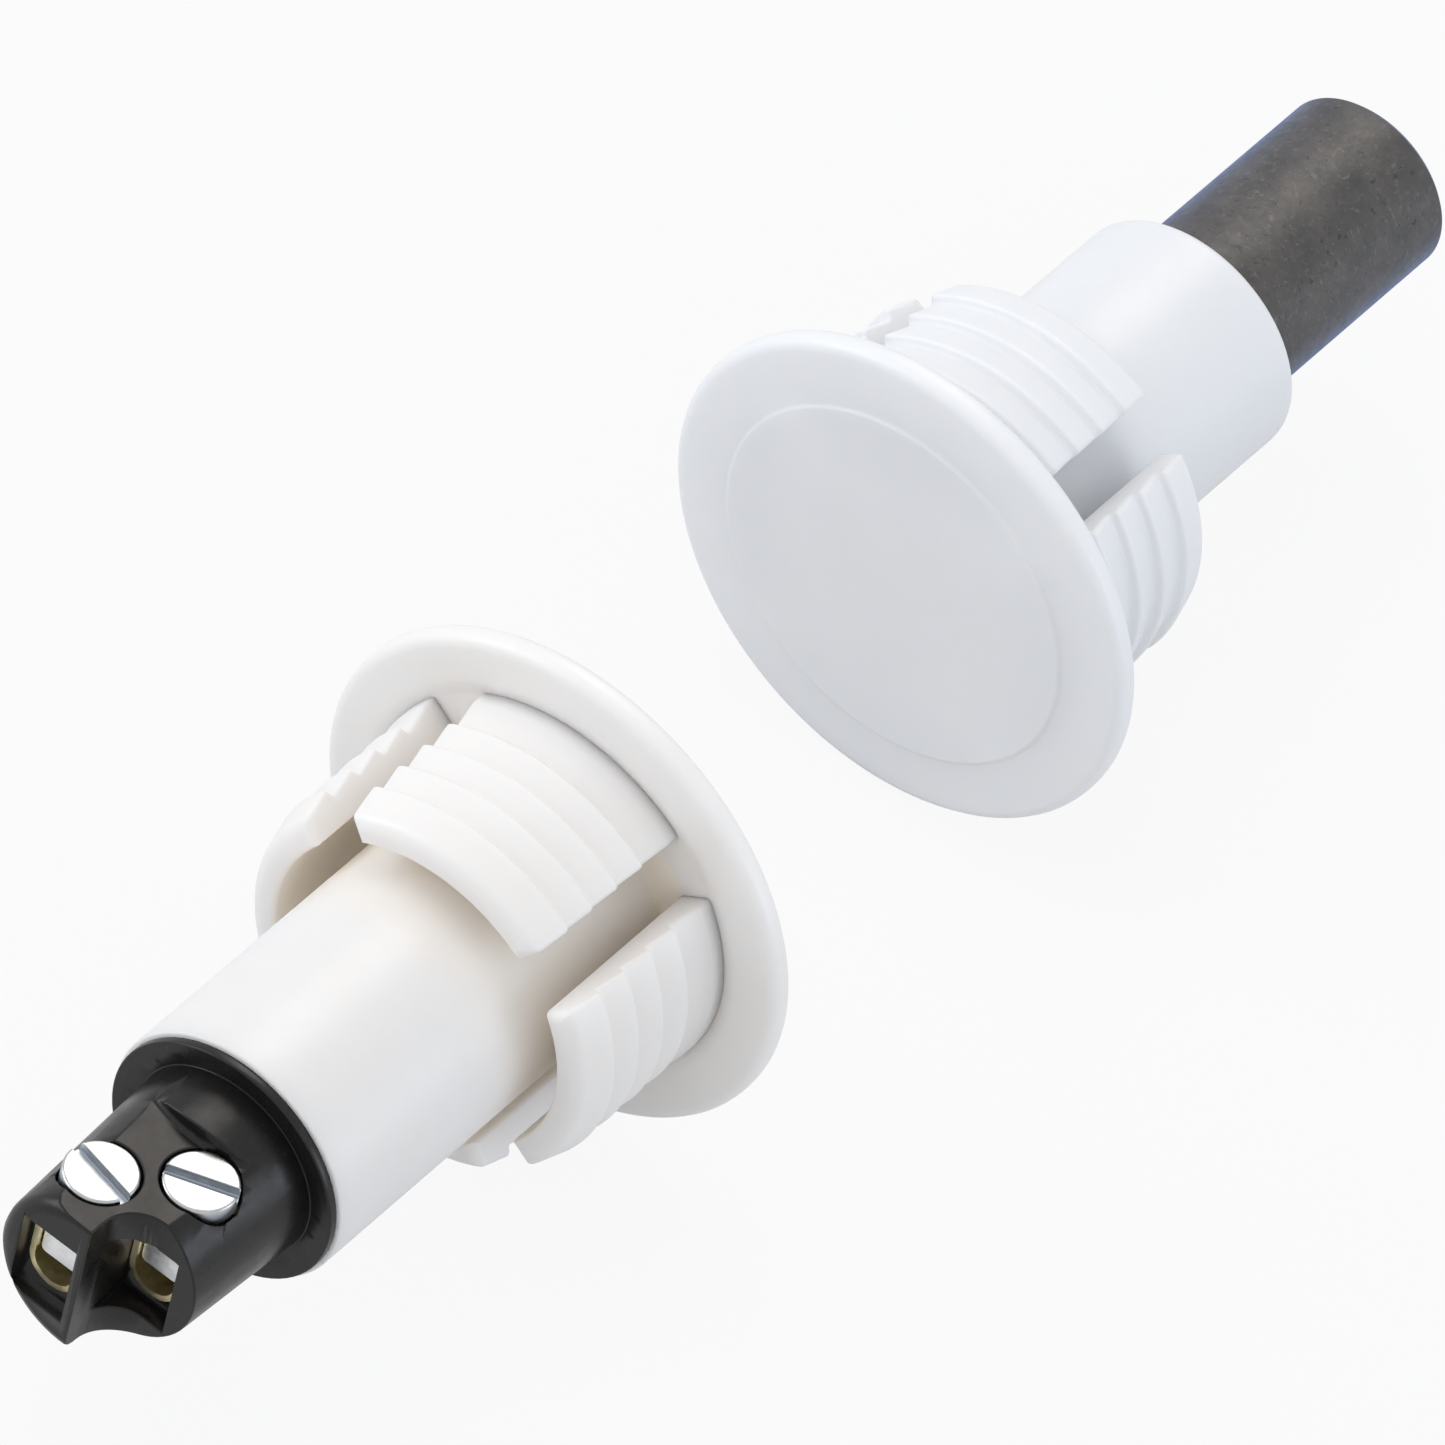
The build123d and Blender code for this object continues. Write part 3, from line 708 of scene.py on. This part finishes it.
def softened(node, name, material, width):
    """A copy of a CAD mesh whose coplanar triangles are joined and whose sharp edges get a small round.
    Hidden edges and those at points where short edges crowd together are left out."""
    shell = bmesh.new()
    shell.from_mesh(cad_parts[node].data)
    bmesh.ops.remove_doubles(shell, verts=shell.verts, dist=BLOCK_MERGE * MM)
    bmesh.ops.dissolve_limit(shell, angle_limit=FLAT_ANGLE, verts=shell.verts, edges=shell.edges)
    sharp = [e for e in shell.edges if len(e.link_faces) == 2 and e.calc_face_angle(0) > SHARP_ANGLE]
    crowded = {v for e in sharp if e.calc_length() < CROWDED_EDGE * MM for v in e.verts}
    sharp = [e for e in sharp if not crowded & set(e.verts) and not all(hidden(*v.co / MM) for v in e.verts)]
    bmesh.ops.bevel(
        shell,
        geom=sharp,
        offset=width * MM,
        offset_type="OFFSET",
        segments=3,
        profile=0.5,
        affect="EDGES",
        clamp_overlap=False,
    )
    mesh = bpy.data.meshes.new(name)
    shell.to_mesh(mesh)
    shell.free()
    mesh.polygons.foreach_set("use_smooth", np.ones(len(mesh.polygons), bool))
    mesh.set_sharp_from_angle(angle=CREASE_ANGLE)
    mesh.materials.append(material)
    made = bpy.data.objects.new(name, mesh)
    bpy.context.scene.collection.objects.link(made)
    weighted = made.modifiers.new("even_normals", "WEIGHTED_NORMAL")
    weighted.keep_sharp = True
    weighted.weight = LARGE_FACES_WEIGHT
    return made


switch_form = housing(SWITCH_TUBE, SWITCH_LENGTH, SWITCH_END_ROUND, SWITCH_BORE, SWITCH_FLOOR)
switch_housing = piece(
    "switch_housing",
    switch_form,
    warm_white,
    "housings",
)
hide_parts("switch_shell")
magnet_form = housing(MAGNET_TUBE, MAGNET_LENGTH, MAGNET_END_ROUND, MAGNET_BORE, MAGNET_FLOOR, crush_ribs)
magnet_housing = piece(
    "magnet_housing",
    to_magnet_side(magnet_form),
    cool_white,
    "housings",
)
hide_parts("magnet_shell")
block = softened("terminal_block", "terminal_plug", black, BLOCK_EDGE)
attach(block, "housings")
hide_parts("terminal_block")
ground_rod = piece("ground_rod", to_magnet_side([rod_surface()]), ferrite, "housings")
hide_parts("magnet_rod")
for side, (x, y, slot_angle) in SCREWS.items():
    screw = piece(
        "slotted_screw_" + side,
        [screw_head(x, y, slot_angle), screw_shank(x, y)],
        screw_metal[side],
        "screw_" + side,
    )
    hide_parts("terminal_screw_" + side)

# Stage

FLOOR_HEIGHT = -FLANGE_RADIUS - 0.02
FLOOR_REACH = 4000
FLOOR_GREY = 0.62
FLOOR_WHITE = 0.9
MIRRORED_WHITE = 0.45
WORLD_TINT = (0.925, 0.955, 1.0)
WORLD_STRENGTH = 0.79
OBJECT_MIDDLE = (0, 13.6, 0)
side_points = np.linspace(-FLOOR_REACH, FLOOR_REACH, 5)
floor_x, floor_y = np.meshgrid(side_points, side_points, indexing="ij")
floor_points, floor_faces = patch(np.stack([floor_x, floor_y, np.full_like(floor_x, FLOOR_HEIGHT)], -1))
floor_mesh = bpy.data.meshes.new("pale_floor")
floor_mesh.from_pydata((floor_points * MM).tolist(), [], floor_faces[:, ::-1].tolist())
floor = bpy.data.objects.new("pale_floor", floor_mesh)
bpy.context.scene.collection.objects.link(floor)


def white_share(tree):
    """Share of plain white in a background: whole for straight looks, less for looks by way of metal or
    glass, and none for the light that falls on the object."""
    look = tree.nodes.new("ShaderNodeLightPath")
    mirrored = tree.nodes.new("ShaderNodeMath")
    mirrored.operation = "MAXIMUM"
    tree.links.new(look.outputs["Is Glossy Ray"], mirrored.inputs[0])
    tree.links.new(look.outputs["Is Transmission Ray"], mirrored.inputs[1])
    paler = tree.nodes.new("ShaderNodeMath")
    paler.operation = "MULTIPLY"
    paler.inputs[1].default_value = MIRRORED_WHITE
    tree.links.new(mirrored.outputs[0], paler.inputs[0])
    seen = tree.nodes.new("ShaderNodeMath")
    seen.operation = "MAXIMUM"
    tree.links.new(look.outputs["Is Camera Ray"], seen.inputs[0])
    tree.links.new(paler.outputs[0], seen.inputs[1])
    return seen.outputs[0]


def pale_surface():
    """White floor: mostly plain white, and the rest is the lit floor with the object's shadow."""
    material = bpy.data.materials.new("pale_floor")
    material.use_nodes = True
    tree = material.node_tree
    tree.nodes.clear()
    output = tree.nodes.new("ShaderNodeOutputMaterial")
    lit = tree.nodes.new("ShaderNodeBsdfDiffuse")
    lit.inputs["Color"].default_value = (FLOOR_GREY, FLOOR_GREY, FLOOR_GREY, 1)
    white = tree.nodes.new("ShaderNodeEmission")
    white.inputs["Strength"].default_value = 1.0
    share = tree.nodes.new("ShaderNodeMath")
    share.operation = "MULTIPLY"
    share.inputs[1].default_value = FLOOR_WHITE
    mix = tree.nodes.new("ShaderNodeMixShader")
    tree.links.new(white_share(tree), share.inputs[0])
    tree.links.new(share.outputs[0], mix.inputs["Fac"])
    tree.links.new(lit.outputs[0], mix.inputs[1])
    tree.links.new(white.outputs[0], mix.inputs[2])
    tree.links.new(mix.outputs[0], output.inputs["Surface"])
    return material


floor_mesh.materials.append(pale_surface())


def studio_world():
    """Soft even light from all round, with white behind the object."""
    world = bpy.data.worlds.new("studio")
    world.use_nodes = True
    tree = world.node_tree
    tree.nodes.clear()
    output = tree.nodes.new("ShaderNodeOutputWorld")
    soft = tree.nodes.new("ShaderNodeBackground")
    soft.inputs["Color"].default_value = (*WORLD_TINT, 1)
    soft.inputs["Strength"].default_value = WORLD_STRENGTH
    white = tree.nodes.new("ShaderNodeBackground")
    white.inputs["Strength"].default_value = 1.0
    mix = tree.nodes.new("ShaderNodeMixShader")
    tree.links.new(white_share(tree), mix.inputs["Fac"])
    tree.links.new(soft.outputs[0], mix.inputs[1])
    tree.links.new(white.outputs[0], mix.inputs[2])
    tree.links.new(mix.outputs[0], output.inputs["Surface"])
    bpy.context.scene.world = world


def soft_box(name, place, size, watts, tint, matt=True, gloss=True):
    """Square lamp at a place in millimetres, facing the middle of the object, that no camera sees. It can be
    left out of the matt light or out of the reflections."""
    lamp = bpy.data.lights.new(name, "AREA")
    lamp.shape = "SQUARE"
    lamp.size = size * MM
    lamp.energy = watts
    lamp.color = tint
    made = bpy.data.objects.new(name, lamp)
    made.location = Vector(place) * MM
    ahead = Vector(OBJECT_MIDDLE) * MM - made.location
    made.rotation_euler = ahead.to_track_quat("-Z", "Y").to_euler()
    made.visible_camera = False
    made.visible_diffuse = matt
    made.visible_glossy = gloss
    bpy.context.scene.collection.objects.link(made)


studio_world()
soft_box("sheen_box", (-190, 330, 450), 300, 0.82, (1.0, 0.92, 0.84), matt=False)
soft_box("top_box", (-190, 60, 540), 300, 0.65, (1.0, 0.905, 0.80), gloss=False)
soft_box("left_box", (-560, -260, 260), 380, 1.30, (0.85, 0.915, 1.0))
soft_box("right_box", (560, 200, 120), 260, 0.60, (0.78, 0.87, 1.0))

# Camera, placed so that the point on the axis stands at its pixel in the photo

CAMERA_AZIMUTH = math.radians(27.27)
CAMERA_ELEVATION = math.radians(48.75)
CAMERA_ROLL = math.radians(15.0)
CAMERA_DISTANCE = 1005.0
PHOTO_SIZE = 1445.0
FOCAL_PIXELS = 22700.0
SENSOR_WIDTH = 36.0
AXIS_POINT = Vector((0, 0.65, 0))
AXIS_POINT_PIXEL = (557.5, 872.5)

back = Vector(
    (
        math.sin(CAMERA_AZIMUTH) * math.cos(CAMERA_ELEVATION),
        -math.cos(CAMERA_AZIMUTH) * math.cos(CAMERA_ELEVATION),
        math.sin(CAMERA_ELEVATION),
    )
)
level = Vector((math.cos(CAMERA_AZIMUTH), math.sin(CAMERA_AZIMUTH), 0))
upright = back.cross(level)
right = level * math.cos(CAMERA_ROLL) + upright * math.sin(CAMERA_ROLL)
up = upright * math.cos(CAMERA_ROLL) - level * math.sin(CAMERA_ROLL)
per_pixel = CAMERA_DISTANCE / FOCAL_PIXELS
aim = AXIS_POINT + right * (PHOTO_SIZE / 2 - AXIS_POINT_PIXEL[0]) * per_pixel
aim = aim + up * (AXIS_POINT_PIXEL[1] - PHOTO_SIZE / 2) * per_pixel
camera_data = bpy.data.cameras.new("photo_camera")
camera_data.sensor_width = SENSOR_WIDTH
camera_data.lens = SENSOR_WIDTH * FOCAL_PIXELS / PHOTO_SIZE
camera = bpy.data.objects.new("photo_camera", camera_data)
camera.matrix_world = Matrix.Translation((aim + back * CAMERA_DISTANCE) * MM) @ Matrix(
    (right, up, back)
).transposed().to_4x4()
bpy.context.scene.collection.objects.link(camera)
bpy.context.scene.camera = camera
bpy.context.scene.view_settings.view_transform = "Standard"
